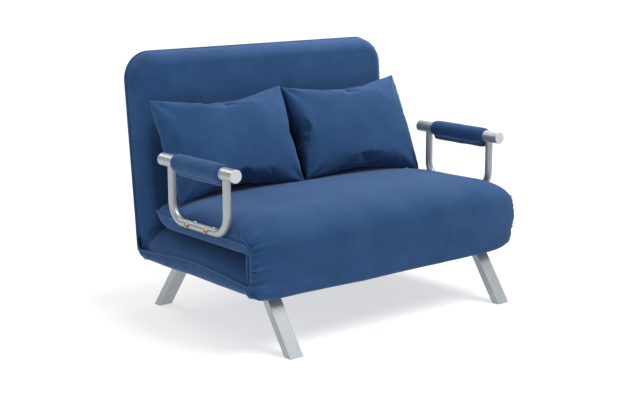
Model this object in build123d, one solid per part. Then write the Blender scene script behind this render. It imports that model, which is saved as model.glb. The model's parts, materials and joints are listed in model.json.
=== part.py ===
from build123d import *
import math
import os

# A two-seat folding sofa bed. All sizes are millimetres.
# X runs across the seat, +Y to the back, +Z up. The origin is on the floor, at the middle
# of the footprint. The seat section folds forward over the front panel, and the backrest
# folds back, so that seat, front panel, base and backrest lie in one plane as a bed.

# Overall size
overall_width = 1020.0  # across the padded armrests
overall_depth = 720.0  # front feet to the rear face of the backrest
overall_height = 748.0  # floor to the top of the backrest

# Cushion sections
cover_thickness = 1.5
cover_ease = 0.5  # between a cover and the padding in it
arm_gap = 4.0  # between the cushion's side and the armrest tube
base_underside = 142.0
base_neutral = 187.0  # height of the base frame's middle plane
base_top = 250.0
layer_gap = 4.0  # between the base and the seat section that lies on it
seat_neutral = 308.5  # height of the seat frame's middle plane
seat_crown = 368.5
seat_rear_gap = 90.0  # seat section's rear edge to the backrest hinge
section_edge_radius = 24.0
nose_gap = 0.6  # between a rolled nose and the panel that turns around it
pad_setback = 18.0  # from a pivot to the square part of the padding

# Front fold
fold_inset = 97.0  # front feet to the two front pivots
base_nose_radius = 45.0
seat_nose_radius = 60.0

# Backrest
back_lean = 5.0  # degrees from upright
back_front = 62.0  # neutral plane to the front face
back_rear = 35.0  # neutral plane to the rear face
back_edge_radius = 24.0
back_corner_radius = 80.0
back_skirt = 48.0  # hinge to the lower end of the backrest's padding

# Frame tubes
rail_size = 25.0
rail_wall = 1.5
base_rail_x = 389.0
rail_side_step = 11.0  # base rail's outer side to the seat rail's inner side
strap_thickness = 2.0
strap_width = 55.0
strap_gap = 0.5
base_strap_count = 5
seat_strap_count = 4
back_strap_count = 5
crossbar_inset = 38.0  # pivot to the first crossbar
crossbar_share = 0.6  # height of the backrest's middle crossbar

# Legs
leg_width = 42.0
leg_thickness = 22.0
leg_wall = 1.5
front_splay = 34.5  # degrees from upright
rear_splay = 38.0
rear_foot_inset = 60.0  # rear feet to the rear face of the backrest
leg_plate_thickness = 3.0
leg_plate_margin = 24.0
foot_plug_height = 14.0
leg_bolt_length = 8.0
leg_hole_ease = 1.0  # cover and padding to the leg and its plate

# Hinges
pin_radius = 6.0
pin_clearance = 0.05
pin_head_radius = 10.0
pin_head_height = 4.0
pin_end = 1.0  # pin beyond the last plate it carries
rail_end = 14.0  # rail end beyond its pivot
link_thickness = 5.0
link_washer = 3.0  # between the base rail and the link plate
link_end_radius = 12.0
link_bar_radius = 8.0
link_bar_wall = 1.5
link_bar_forward = 25.0  # crossbar of the link, in front of the pivots
link_bar_up = 56.5  # and above the lower pivot
link_ear = 5.0  # plate around the crossbar
link_pad_ease = 1.0  # front panel's padding to its own plates and crossbar
slot_ease = 2.0  # padding to a plate that swings in it
panel_end = 14.0  # from each pivot's height to the front panel's blunt end
hinge_plate = 4.0
ratchet_radius = 30.0
ratchet_teeth = 5
ratchet_step = 17.0  # degrees between two backrest positions
ratchet_notch = 5.0
ratchet_tail = 80.0
pawl_clearance = 1.0  # pawl's tip to the ratchet's rim
pawl_reach = 24.0  # ratchet's rim to the pawl's stud
pawl_tip_width = 4.0
pawl_side_ease = 0.5
spring_thickness = 1.2
spring_height = 30.0
spring_bend = 4.0
spring_gap = 1.5
hinge_arm_length = 120.0

# Fasteners
bolt_radius = 4.0
bolt_clearance = 0.2
bolt_head_radius = 7.0
bolt_head_height = 4.5
bolt_socket_width = 5.0
bolt_socket_floor = 1.5

# Armrests
arm_bar_radius = 17.5
arm_bar_wall = 2.0
arm_bar_front = 121.0  # front feet to the bar's front end
arm_bar_length = 348.0
arm_bar_height = 471.0
arm_cap_thickness = 3.0
arm_cap_plug = 10.0
arm_cap_chamfer = 1.0
arm_tube_radius = 11.0
arm_tube_wall = 1.5
arm_post_inset = 44.0  # bar end to post
arm_bend_radius = 52.0
arm_bolt_spacing = 91.0
arm_spacer_radius = 8.0
arm_spacer_ease = 1.0  # cover to the spacer through it
sleeve_thickness = 6.5
sleeve_ease = 0.4
sleeve_post_gap = 3.5
sleeve_flap = 11.0
sleeve_flap_thickness = 4.0

# Pillows
pillow_width = 452.0
pillow_height = 285.0
pillow_thickness = 115.0
pillow_edge = 14.0  # thickness left at the upper and lower edges
pillow_side_edge = 34.0  # and at the two sides
pillow_lean = 24.0  # degrees from upright
pillow_foot_inset = 163.0  # backrest hinge to the pillow's lower edge
pillow_outer_gap = 5.0  # pillow to the padded armrest
pillow_rest_gap = 0.6  # above the seat's crown
pillow_end_inset = 0.5  # keeps the pillow's two outlines from touching at its ends

SIDES = (("left", -1), ("right", 1))


def tan_deg(angle):
    return math.tan(math.radians(angle))


def sin_deg(angle):
    return math.sin(math.radians(angle))


def cos_deg(angle):
    return math.cos(math.radians(angle))


# Places worked out from the sizes above
front_y = -overall_depth / 2
rear_y = overall_depth / 2
arm_x = overall_width / 2 - sleeve_thickness - sleeve_ease - arm_bar_radius
section_half = arm_x - arm_tube_radius - arm_gap
fold_y = front_y + fold_inset
arm_post_front = front_y + arm_bar_front + arm_post_inset
arm_post_rear = front_y + arm_bar_front + arm_bar_length - arm_post_inset
pad_inset = cover_thickness + cover_ease
seat_rail_x = base_rail_x + rail_size + rail_side_step
ratchet_x = base_rail_x + rail_size / 2
link_x = ratchet_x + link_washer
leg_top = base_neutral - rail_size / 2 - leg_plate_thickness

# Backrest length along its neutral plane, so that its top is at the overall height, and
# the hinge's place, so that its rear face is at the overall depth
back_length = back_edge_radius + (
    overall_height - base_neutral - back_edge_radius
    - (back_front - back_edge_radius) * sin_deg(back_lean)
) / cos_deg(back_lean)
hinge_y = (
    rear_y - back_edge_radius
    - (back_rear - back_edge_radius) * cos_deg(back_lean)
    - (back_length - back_edge_radius) * sin_deg(back_lean)
)
seat_rear_y = hinge_y - seat_rear_gap
base_rear_y = hinge_y - back_front - cover_ease * 2

LOWER_PIVOT = (fold_y, base_neutral)
UPPER_PIVOT = (fold_y, seat_neutral)
HINGE = (hinge_y, base_neutral)

nodes = {}


def across(outline, x_low, x_high):
    """Extrude an outline drawn in (y, z) along X."""
    return extrude(Plane.YZ.offset(x_low) * outline, amount=x_high - x_low)


def mirrored_across(outline, x_low, x_high, side):
    """The same between x_low and x_high on the given side."""
    if side > 0:
        return across(outline, x_low, x_high)
    return across(outline, -x_high, -x_low)


def rectangle(y_low, y_high, z_low, z_high):
    middle = Pos((y_low + y_high) / 2, (z_low + z_high) / 2)
    return middle * Rectangle(y_high - y_low, z_high - z_low)


def disc(centre, radius):
    return Pos(*centre) * Circle(radius)


def block(x_low, x_high, y_low, y_high, z_low, z_high):
    return across(rectangle(y_low, y_high, z_low, z_high), x_low, x_high)


def rod_x(centre, radius, x_low, x_high):
    return across(disc(centre, radius), min(x_low, x_high), max(x_low, x_high))


def rod_y(x, z, radius, y_low, y_high):
    return Pos(x, (y_low + y_high) / 2, z) * Rot(90, 0, 0) * Cylinder(radius, y_high - y_low)


def rod_z(x, y, radius, z_low, z_high):
    return Pos(x, y, (z_low + z_high) / 2) * Cylinder(radius, z_high - z_low)


def rail_y(x, y_low, y_high, z):
    """Square tube along Y, open at both ends."""
    half = rail_size / 2
    inner = half - rail_wall
    outside = block(x - half, x + half, y_low, y_high, z - half, z + half)
    return outside - block(x - inner, x + inner, y_low, y_high, z - inner, z + inner)


def rail_x(half_length, y, z):
    """Square tube along X, open at both ends."""
    half = rail_size / 2
    inner = half - rail_wall
    outside = block(-half_length, half_length, y - half, y + half, z - half, z + half)
    return outside - block(-half_length, half_length, y - inner, y + inner, z - inner, z + inner)


def rounded_block(x_half, y_low, y_high, z_low, z_high, radius):
    """Block with its long side edges, along Y, rounded."""
    solid = block(-x_half, x_half, y_low, y_high, z_low, z_high)
    return fillet(solid.edges().filter_by(Axis.Y), radius)


def straps(y_places, x_half, z_low):
    """Elastic straps across two rails, one solid each."""
    half = strap_width / 2
    return [block(-x_half, x_half, y - half, y + half, z_low, z_low + strap_thickness)
            for y in y_places]


def spread(low, high, count):
    """count places from low to high, evenly spaced."""
    return [low + (high - low) * index / (count - 1) for index in range(count)]


def save(name, *solids):
    nodes[name] = Compound(children=list(solids)) if len(solids) > 1 else solids[0]


# Base section -------------------------------------------------------------------------

base_crossbar_places = {
    "front": fold_y + crossbar_inset,
    "middle": (fold_y + hinge_y) / 2,
    "rear": hinge_y - back_front - rail_size,
}


def leg_outline(foot_y, splay, inset=0.0, top=leg_top):
    """A leg seen from the side: foot_y is its outer lower corner, splay leans it inwards."""
    depth = leg_thickness / cos_deg(abs(splay))
    skin = inset / cos_deg(abs(splay))
    inward = 1 if splay > 0 else -1
    shift = top * tan_deg(splay)
    outer = foot_y + inward * skin
    inner = foot_y + inward * (depth - skin)
    corners = ((outer, 0), (inner, 0), (inner + shift, top), (outer + shift, top))
    return make_face(Polyline(*corners, close=True))


LEGS = {
    "front": (front_y, front_splay),
    "rear": (rear_y - rear_foot_inset, -rear_splay),
}


def leg_top_range(foot_y, splay):
    """Where a leg meets its plate, as the low and high y."""
    depth = leg_thickness / cos_deg(abs(splay))
    outer = foot_y + leg_top * tan_deg(splay)
    inner = outer + (depth if splay > 0 else -depth)
    return min(outer, inner), max(outer, inner)


def leg(foot_y, splay, x):
    half = leg_width / 2
    outside = across(leg_outline(foot_y, splay), x - half, x + half)
    inside = across(leg_outline(foot_y, splay, leg_wall), x - half + leg_wall, x + half - leg_wall)
    return outside - inside


def foot_plug(foot_y, splay, x):
    """Plastic plug in a leg's lower end, flush with it."""
    half = leg_width / 2 - leg_wall - bolt_clearance
    inset = leg_wall + bolt_clearance
    return across(leg_outline(foot_y, splay, inset, foot_plug_height), x - half, x + half)


def leg_plate(foot_y, splay, x):
    low, high = leg_top_range(foot_y, splay)
    half = rail_size / 2
    plate = block(x - half, x + half, low - leg_plate_margin, high + leg_plate_margin,
                  leg_top, leg_top + leg_plate_thickness)
    for y in leg_bolt_places(foot_y, splay):
        plate -= rod_z(x, y, bolt_radius + bolt_clearance, 0, base_neutral)
    return plate


def leg_bolt_places(foot_y, splay):
    low, high = leg_top_range(foot_y, splay)
    return low - leg_plate_margin / 2, high + leg_plate_margin / 2


def leg_bolt(x, y):
    head = extrude(RegularPolygon(bolt_head_radius, 6), amount=bolt_head_height)
    shank = rod_z(x, y, bolt_radius, leg_top, leg_top + leg_bolt_length)
    return Pos(x, y, leg_top - bolt_head_height) * head + shank


def base_rail(side):
    x = side * base_rail_x
    rail = rail_y(x, fold_y - rail_end, hinge_y + rail_end, base_neutral)
    for pivot in (LOWER_PIVOT, HINGE):
        rail -= rod_x(pivot, pin_radius + pin_clearance, x - rail_size, x + rail_size)
    for foot_y, splay in LEGS.values():
        for y in leg_bolt_places(foot_y, splay):
            rail -= rod_z(x, y, bolt_radius + bolt_clearance, 0, base_neutral)
    return rail


def base_padding():
    """The padding of the base as one body, before the frame's layer is taken out."""
    body = rounded_block(section_half - pad_inset, fold_y + pad_setback, base_rear_y - pad_inset,
                         base_underside + pad_inset, base_top - pad_inset, section_edge_radius)
    half = section_half - pad_inset
    radius = base_nose_radius - pad_inset
    low, high = base_underside + pad_inset, base_top - pad_inset
    core = block(-half, half, fold_y, hinge_y, base_neutral - radius, base_neutral + radius)
    rolls = rod_x(LOWER_PIVOT, radius, -half, half) + core + rod_x(HINGE, radius, -half, half)
    body += rolls & rounded_block(half, front_y, rear_y, low, high, section_edge_radius)
    for _, side in SIDES:
        body -= link_slot(side)
        hinge_room = rectangle(base_rear_y, rear_y, base_underside, base_top)
        hinge_outer = seat_rail_x + rail_size / 2 + slot_ease
        body -= mirrored_across(hinge_room, ratchet_x - slot_ease, hinge_outer, side)
    return body


def leg_pockets():
    """Room for the legs, their plates and bolt heads in the base's padding and cover."""
    pockets = []
    pocket_low = leg_top - bolt_head_height - leg_hole_ease
    for _, side in SIDES:
        x = side * base_rail_x
        half = leg_width / 2 + leg_hole_ease
        for foot_y, splay in LEGS.values():
            low, high = leg_top_range(foot_y, splay)
            pockets.append(across(leg_outline(foot_y, splay, -leg_hole_ease), x - half, x + half))
            pockets.append(block(x - half, x + half, low - leg_plate_margin - leg_hole_ease,
                                 high + leg_plate_margin + leg_hole_ease,
                                 pocket_low, leg_top + leg_plate_thickness))
    return pockets


def link_slot(side):
    """Room for a link plate in the noses that it swings past."""
    room = rectangle(front_y, fold_y + pad_setback, base_underside, seat_crown)
    return mirrored_across(room, link_x - slot_ease, link_x + link_thickness + slot_ease, side)


def frame_layer(neutral, strap_layer):
    """The layer that a section's frame and straps take up, as its low and high z."""
    half = rail_size / 2
    return neutral - half - strap_gap, neutral + half + strap_layer + strap_gap


def split_padding(body, low, high):
    """The padding above and below a section's frame layer."""
    reach = overall_width
    above = body & block(-reach, reach, -reach, reach, high, high + reach)
    below = body & block(-reach, reach, -reach, reach, low - reach, low)
    return above, below


def base_cover():
    """Sleeve of cloth around the base, open at both folds, with the legs through it."""
    outside = rounded_block(section_half, fold_y + pad_setback, base_rear_y,
                            base_underside, base_top, section_edge_radius + pad_inset)
    inside = rounded_block(section_half - cover_thickness, fold_y, hinge_y,
                           base_underside + cover_thickness, base_top - cover_thickness,
                           section_edge_radius + pad_inset - cover_thickness)
    sleeve = outside - inside
    for pocket in leg_pockets():
        sleeve -= pocket
    return sleeve


def pivot_pin(centre, x_low, x_high, side):
    """Headed pin along X: the head is at the inner end."""
    inner = x_low - pin_head_height
    shank = rod_x(centre, pin_radius, side * inner, side * x_high)
    return shank + rod_x(centre, pin_head_radius, side * inner, side * x_low)


def build_base():
    half = rail_size / 2
    rail_inner = base_rail_x - half
    for name, side in SIDES:
        save("base_rail_" + name, base_rail(side))
    for name, y in base_crossbar_places.items():
        save("base_crossbar_" + name, rail_x(rail_inner, y, base_neutral))

    for leg_name, (foot_y, splay) in LEGS.items():
        for name, side in SIDES:
            save("leg_" + leg_name + "_" + name, leg(foot_y, splay, side * base_rail_x))
    corners = [(side * base_rail_x, foot_y, splay)
               for _, side in SIDES for foot_y, splay in LEGS.values()]
    save("foot_plugs", *[foot_plug(foot_y, splay, x) for x, foot_y, splay in corners])
    save("leg_plates", *[leg_plate(foot_y, splay, x) for x, foot_y, splay in corners])
    save("leg_bolts", *[leg_bolt(x, y) for x, foot_y, splay in corners
                        for y in leg_bolt_places(foot_y, splay)])

    strap_places = spread(base_crossbar_places["front"] + strap_width,
                          base_crossbar_places["rear"] - strap_width, base_strap_count)
    save("base_straps", *straps(strap_places, base_rail_x, base_neutral + half))

    low, high = frame_layer(base_neutral, strap_thickness)
    above, below = split_padding(base_padding(), low, high)
    for pocket in leg_pockets():
        below -= pocket
    save("base_pad_top", above)
    save("base_pad_bottom", below)
    save("base_cover", base_cover())

    link_outer = link_x + link_thickness + pin_end
    save("lower_pivot_pins", *[pivot_pin(LOWER_PIVOT, rail_inner, link_outer, side)
                               for _, side in SIDES])
    for name, side in SIDES:
        save("ratchet_plate_" + name, ratchet_plate(side))
    hinge_outer = seat_rail_x + half + pin_end
    save("back_hinge_pins", *[pivot_pin(HINGE, rail_inner, hinge_outer, side)
                              for _, side in SIDES])


# Backrest hinge -----------------------------------------------------------------------

def ratchet_plate(side):
    """Toothed plate fixed to the base rail, with one notch for each backrest position."""
    half = rail_size / 2
    tail = rectangle(hinge_y - ratchet_tail, hinge_y, base_neutral - half, base_neutral + half)
    outline = disc(HINGE, ratchet_radius) + tail - disc(HINGE, pin_radius + pin_clearance)
    for index in range(ratchet_teeth):
        angle = 90 - back_lean - index * ratchet_step
        square = Rot(0, 0, 45) * Rectangle(ratchet_notch, ratchet_notch)
        outline -= Pos(*HINGE) * Rot(0, 0, angle) * Pos(ratchet_radius, 0) * square
    return mirrored_across(outline, ratchet_x, ratchet_x + hinge_plate, side)


def lean(shape):
    """Place a shape drawn upright about the hinge: Y forward to rear, Z up from the hinge."""
    return Pos(0, hinge_y, base_neutral) * Rot(-back_lean, 0, 0) * shape


hinge_arm_x = seat_rail_x - rail_size / 2 - hinge_plate
pawl_stud = (0.0, ratchet_radius + pawl_reach)


def hinge_arm(side):
    """Strap from the hinge pin up the backrest's rail."""
    half = rail_size / 2
    outline = disc((0, 0), half) + rectangle(-half, half, 0, hinge_arm_length)
    outline -= disc((0, 0), pin_radius + pin_clearance)
    outline -= disc(pawl_stud, bolt_radius + pin_clearance)
    return lean(mirrored_across(outline, hinge_arm_x, hinge_arm_x + hinge_plate, side))


def pawl(side):
    """Pawl on its stud, with its tip just clear of the ratchet's teeth."""
    tip = ratchet_radius + pawl_clearance
    tip_half = pawl_tip_width / 2
    root_half = bolt_head_radius * 0.9
    finger = Polyline((-tip_half, tip), (tip_half, tip), (root_half, pawl_stud[1]),
                      (-root_half, pawl_stud[1]), close=True)
    outline = disc(pawl_stud, bolt_head_radius) + make_face(finger)
    outer = hinge_arm_x - pawl_side_ease
    body = mirrored_across(outline, ratchet_x + pawl_side_ease, outer, side)
    stud = rod_x(pawl_stud, bolt_radius, side * outer, side * (hinge_arm_x + hinge_plate))
    return lean(body + stud)


def pawl_spring(side):
    """Leaf spring that bears on the pawl, hooked over a pin on the arm."""
    foot = pawl_stud[1] + bolt_head_radius + spring_gap
    reach = bolt_head_radius - spring_thickness
    corners = ((-bolt_head_radius, foot), (reach, foot), (reach, foot + spring_height))
    line = FilletPolyline(*corners, radius=spring_bend)
    leaf = trace(line, spring_thickness)
    inner = ratchet_x + 2 * pawl_side_ease
    return lean(mirrored_across(leaf, inner, hinge_arm_x, side))


# Front panel and its link -------------------------------------------------------------

link_bar_place = (fold_y - link_bar_forward, base_neutral + link_bar_up)


def link_plate(side):
    """Flat plate from the lower to the upper pivot, with an ear for the crossbar."""
    circles = [disc(LOWER_PIVOT, link_end_radius), disc(UPPER_PIVOT, link_end_radius),
               disc(link_bar_place, link_bar_radius + link_ear)]
    outline = make_hull([edge for circle in circles for edge in circle.edges()])
    for pivot in (LOWER_PIVOT, UPPER_PIVOT):
        outline -= disc(pivot, pin_radius + pin_clearance)
    return mirrored_across(outline, link_x, link_x + link_thickness, side)


def panel_line(inset):
    """Two points of the panel's outer face, tangent to both noses, moved in by inset."""
    span = seat_neutral - base_neutral
    slope = (base_nose_radius - seat_nose_radius) / span
    normal = (-math.sqrt(1 - slope * slope), slope)
    lower = (LOWER_PIVOT[0] + (base_nose_radius - inset) * normal[0],
             LOWER_PIVOT[1] + (base_nose_radius - inset) * normal[1])
    upper = (UPPER_PIVOT[0] + (seat_nose_radius - inset) * normal[0],
             UPPER_PIVOT[1] + (seat_nose_radius - inset) * normal[1])
    return lower, upper


def panel_outline(inset, inner_y):
    """Side view of the front panel between the two noses, from its face to inner_y."""
    lower, upper = panel_line(inset)
    band = make_face(Polyline(lower, upper, (inner_y, seat_neutral), (inner_y, base_neutral), close=True))
    band -= disc(LOWER_PIVOT, base_nose_radius + nose_gap)
    band -= disc(UPPER_PIVOT, seat_nose_radius + nose_gap)
    # The band is feather thin where it meets a nose, so its ends are cut off.
    return band & rectangle(front_y, fold_y, base_neutral + panel_end, seat_neutral - panel_end)


def front_panel_pad():
    half = section_half - pad_inset
    pad = across(panel_outline(pad_inset, fold_y - link_pad_ease), -half, half)
    pad -= rod_x(link_bar_place, link_bar_radius + link_pad_ease, -link_x, link_x)
    slot_low = fold_y - link_bar_forward - link_bar_radius - link_ear - link_pad_ease
    slot_outer = link_x + link_thickness + link_pad_ease
    for _, side in SIDES:
        slot = rectangle(slot_low, fold_y, base_neutral, seat_neutral)
        pad -= mirrored_across(slot, link_x - link_pad_ease, slot_outer, side)
    return pad


def front_panel_cover():
    skin = panel_outline(0, fold_y) - panel_outline(cover_thickness, fold_y)
    lower, upper = panel_line(cover_thickness)
    keep = make_face(Polyline(lower, upper, (front_y, seat_neutral), (front_y, base_neutral), close=True))
    return across(skin & keep, -section_half, section_half)


def build_link():
    for name, side in SIDES:
        save("link_plate_" + name, link_plate(side))
    outside = rod_x(link_bar_place, link_bar_radius, -link_x, link_x)
    bore = rod_x(link_bar_place, link_bar_radius - link_bar_wall, -link_x, link_x)
    save("link_crossbar", outside - bore)
    save("front_panel_pad", front_panel_pad())
    save("front_panel_cover", front_panel_cover())


# Seat section -------------------------------------------------------------------------

seat_crossbar_places = {
    "front": fold_y + crossbar_inset,
    "middle": (fold_y + seat_rear_y) / 2,
    "rear": seat_rear_y - crossbar_inset,
}
arm_bolt_places = [(arm_post_front + arm_post_rear) / 2 + step * arm_bolt_spacing / 2
                   for step in (-1, 1)]


def seat_rail(side):
    x = side * seat_rail_x
    rail = rail_y(x, fold_y - rail_end, seat_crossbar_places["rear"] + rail_size / 2, seat_neutral)
    rail -= rod_x(UPPER_PIVOT, pin_radius + pin_clearance, x - rail_size, x + rail_size)
    for y in arm_bolt_places:
        rail -= rod_x((y, seat_neutral), bolt_radius + bolt_clearance, x, x + side * rail_size)
    return rail


def seat_padding():
    body = rounded_block(section_half - pad_inset, fold_y + pad_setback, seat_rear_y - pad_inset,
                         base_top + layer_gap + pad_inset, seat_crown - pad_inset, section_edge_radius)
    half = section_half - pad_inset
    radius = seat_nose_radius - pad_inset
    low = base_top + layer_gap + pad_inset
    core = block(-half, half, fold_y, fold_y + pad_setback + rail_size, low, seat_neutral + radius)
    roll = rod_x(UPPER_PIVOT, radius, -half, half) + core
    body += roll & rounded_block(half, front_y, rear_y, low, seat_crown - pad_inset, section_edge_radius)
    for _, side in SIDES:
        body -= link_slot(side)
    return body


def seat_cover():
    """Bag of cloth around the seat section, open at the front fold."""
    low = base_top + layer_gap
    outside = rounded_block(section_half, fold_y + pad_setback, seat_rear_y, low, seat_crown,
                            section_edge_radius + pad_inset)
    inside = rounded_block(section_half - cover_thickness, fold_y, seat_rear_y - cover_thickness,
                           low + cover_thickness, seat_crown - cover_thickness,
                           section_edge_radius + pad_inset - cover_thickness)
    bag = outside - inside
    for y in arm_bolt_places:
        hole_radius = arm_spacer_radius + arm_spacer_ease
        bag -= rod_x((y, seat_neutral), hole_radius, -overall_width, overall_width)
    return bag


def arm_loop(side):
    """Bent tube: down the front post, along under the bar and up the rear post."""
    x = side * arm_x
    top = arm_bar_height
    corners = [(x, arm_post_front, top), (x, arm_post_front, seat_neutral),
               (x, arm_post_rear, seat_neutral), (x, arm_post_rear, top)]
    path = FilletPolyline(*corners, radius=arm_bend_radius)
    start = Plane(origin=corners[0], z_dir=(0, 0, -1))
    ring = start * (Circle(arm_tube_radius) - Circle(arm_tube_radius - arm_tube_wall))
    tube = sweep(ring, path=path)
    tube -= rod_y(x, arm_bar_height, arm_bar_radius + pin_clearance, front_y, rear_y)
    for y in arm_bolt_places:
        tube -= rod_x((y, seat_neutral), bolt_radius + bolt_clearance, 0, side * overall_width)
    return tube


bar_front = front_y + arm_bar_front
bar_rear = bar_front + arm_bar_length


def arm_bar(side):
    x = side * arm_x
    low = bar_front + arm_cap_thickness
    high = bar_rear - arm_cap_thickness
    outside = rod_y(x, arm_bar_height, arm_bar_radius, low, high)
    return outside - rod_y(x, arm_bar_height, arm_bar_radius - arm_bar_wall, low, high)


def arm_cap(side, end_y, inward):
    """Plastic cap of a bar's end: a flange, and a plug in the tube."""
    x = side * arm_x
    flange_in = end_y + inward * arm_cap_thickness
    plug_in = flange_in + inward * arm_cap_plug
    flange = rod_y(x, arm_bar_height, arm_bar_radius, min(end_y, flange_in), max(end_y, flange_in))
    end_face = flange.faces().sort_by(Axis.Y)[0 if inward > 0 else -1]
    flange = chamfer(end_face.edges(), arm_cap_chamfer)
    plug_radius = arm_bar_radius - arm_bar_wall - pin_clearance
    plug = rod_y(x, arm_bar_height, plug_radius, min(flange_in, plug_in), max(flange_in, plug_in))
    return flange + plug


def arm_sleeve(side):
    """Padded cloth sleeve around the bar between the posts, closed by a flap below."""
    x = side * arm_x
    low = arm_post_front + arm_tube_radius + sleeve_post_gap
    high = arm_post_rear - arm_tube_radius - sleeve_post_gap
    inner = arm_bar_radius + sleeve_ease
    outer = inner + sleeve_thickness
    flap_half = sleeve_flap_thickness / 2
    flap = block(x - flap_half, x + flap_half, low, high,
                 arm_bar_height - outer - sleeve_flap, arm_bar_height - inner)
    tube = rod_y(x, arm_bar_height, outer, low, high) + flap
    return tube - rod_y(x, arm_bar_height, inner, low, high)


def arm_bolt(side, y):
    """Socket-head bolt from the armrest tube's outer side into the seat rail."""
    tube_side = arm_x + arm_tube_radius
    head_side = tube_side + bolt_head_height
    head = rod_x((y, seat_neutral), bolt_head_radius, side * tube_side, side * head_side)
    socket = Pos(y, seat_neutral) * RegularPolygon(bolt_socket_width / 2, 6)
    head -= mirrored_across(socket, tube_side + bolt_socket_floor, head_side, side)
    return head + rod_x((y, seat_neutral), bolt_radius, side * seat_rail_x, side * tube_side)


def arm_spacer(side, y):
    """Short tube that carries the bolt's clamp from the armrest to the rail, through the cover."""
    low = seat_rail_x + rail_size / 2
    high = arm_x - arm_tube_radius
    outside = rod_x((y, seat_neutral), arm_spacer_radius, side * low, side * high)
    return outside - rod_x((y, seat_neutral), bolt_radius + bolt_clearance, side * low, side * high)


def build_seat():
    half = rail_size / 2
    for name, side in SIDES:
        save("seat_rail_" + name, seat_rail(side))
    for name, y in seat_crossbar_places.items():
        save("seat_crossbar_" + name, rail_x(seat_rail_x - half, y, seat_neutral))
    strap_places = spread(seat_crossbar_places["front"] + strap_width,
                          seat_crossbar_places["rear"] - strap_width, seat_strap_count)
    save("seat_straps", *straps(strap_places, seat_rail_x, seat_neutral + half))

    low, high = frame_layer(seat_neutral, strap_thickness)
    above, below = split_padding(seat_padding(), low, high)
    save("seat_pad_top", above)
    save("seat_pad_bottom", below)
    save("seat_cover", seat_cover())
    pin_outer = seat_rail_x + half + pin_end
    save("upper_pivot_pins", *[pivot_pin(UPPER_PIVOT, link_x - pin_end, pin_outer, side)
                               for _, side in SIDES])

    for name, side in SIDES:
        save("arm_loop_" + name, arm_loop(side))
        save("arm_bar_" + name, arm_bar(side))
        save("arm_sleeve_" + name, arm_sleeve(side))
    save("arm_caps", *[arm_cap(side, end_y, inward) for _, side in SIDES
                       for end_y, inward in ((bar_front, 1), (bar_rear, -1))])
    save("arm_bolts", *[arm_bolt(side, y) for _, side in SIDES for y in arm_bolt_places])
    save("arm_spacers", *[arm_spacer(side, y) for _, side in SIDES for y in arm_bolt_places])


# Backrest -----------------------------------------------------------------------------


def back_shell(inset, bottom):
    """The backrest's outer form, upright about the hinge, moved in by inset."""
    x_half = section_half - inset
    top = back_length - inset
    corner = back_corner_radius - inset
    face = Pos(0, (bottom + top) / 2) * Rectangle(2 * x_half, top - bottom)
    face = fillet(face.vertices().group_by(Axis.Y)[-1], corner)
    depth = back_front + back_rear - 2 * inset
    solid = Pos(0, back_rear - inset, 0) * Rot(90, 0, 0) * extrude(face, amount=depth)
    rims = solid.edges().group_by(Axis.Y)
    rounded = [edge for rim in (rims[0], rims[-1]) for edge in rim if edge.center().Z > bottom]
    return fillet(rounded, back_edge_radius - inset)


def back_layers():
    """Front and rear padding of the backrest, on either side of its frame layer."""
    body = back_shell(pad_inset, back_skirt)
    reach = overall_width
    half = rail_size / 2
    half_space = Box(2 * reach, 2 * reach, 4 * reach)
    front = body & Pos(0, -reach - half - strap_thickness - strap_gap, 0) * half_space
    rear = body & Pos(0, reach + half + strap_gap, 0) * half_space
    return front, rear


def back_cover():
    """Bag of cloth over the backrest, open at the hinge."""
    inside = back_shell(cover_thickness, back_skirt - cover_thickness)
    return back_shell(0, back_skirt) - inside


def back_rail(side):
    """Upright of the backrest frame."""
    half = rail_size / 2
    top = back_length - back_corner_radius
    x = side * seat_rail_x
    outside = Pos(x, 0, (top - rail_end) / 2) * Box(rail_size, rail_size, top + rail_end)
    inner = rail_size - 2 * rail_wall
    tube = outside - Pos(x, 0, (top - rail_end) / 2) * Box(inner, inner, top + rail_end)
    tube -= rod_x((0, 0), pin_radius + pin_clearance, x - half, x + half)
    tube -= rod_x(pawl_stud, bolt_radius + bolt_clearance, x - half, x + half)
    return lean(tube)


def build_back():
    half = rail_size / 2
    for name, side in SIDES:
        save("back_rail_" + name, back_rail(side))
        save("hinge_arm_" + name, hinge_arm(side))
    crossbars = {"lower": hinge_arm_length + rail_size, "middle": back_length * crossbar_share,
                 "upper": back_length - back_corner_radius - half}
    for name, height in crossbars.items():
        save("back_crossbar_" + name, lean(rail_x(seat_rail_x - half, 0, height)))
    save("pawls", *[pawl(side) for _, side in SIDES])
    save("pawl_springs", *[pawl_spring(side) for _, side in SIDES])

    strap_places = spread(crossbars["lower"] + strap_width, crossbars["upper"] - strap_width,
                          back_strap_count)
    strap_shape = Box(2 * seat_rail_x, strap_thickness, strap_width)
    strap_y = -half - strap_thickness / 2
    save("back_straps", *[lean(Pos(0, strap_y, height) * strap_shape) for height in strap_places])

    front, rear = back_layers()
    save("back_pad_front", lean(front))
    save("back_pad_rear", lean(rear))
    save("back_cover", lean(back_cover()))


# Pillows ------------------------------------------------------------------------------


def bulge(length, edge):
    """Outline of a pillow seen on edge: two arcs between blunt ends, length along local Y."""
    half = length / 2
    thick = pillow_thickness / 2
    rear_arc = ThreePointArc((edge / 2, -half), (thick, 0), (edge / 2, half))
    front_arc = ThreePointArc((-edge / 2, half), (-thick, 0), (-edge / 2, -half))
    far_end = Line((edge / 2, half), (-edge / 2, half))
    near_end = Line((-edge / 2, -half), (edge / 2, -half))
    return make_face([rear_arc, far_end, front_arc, near_end])


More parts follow.
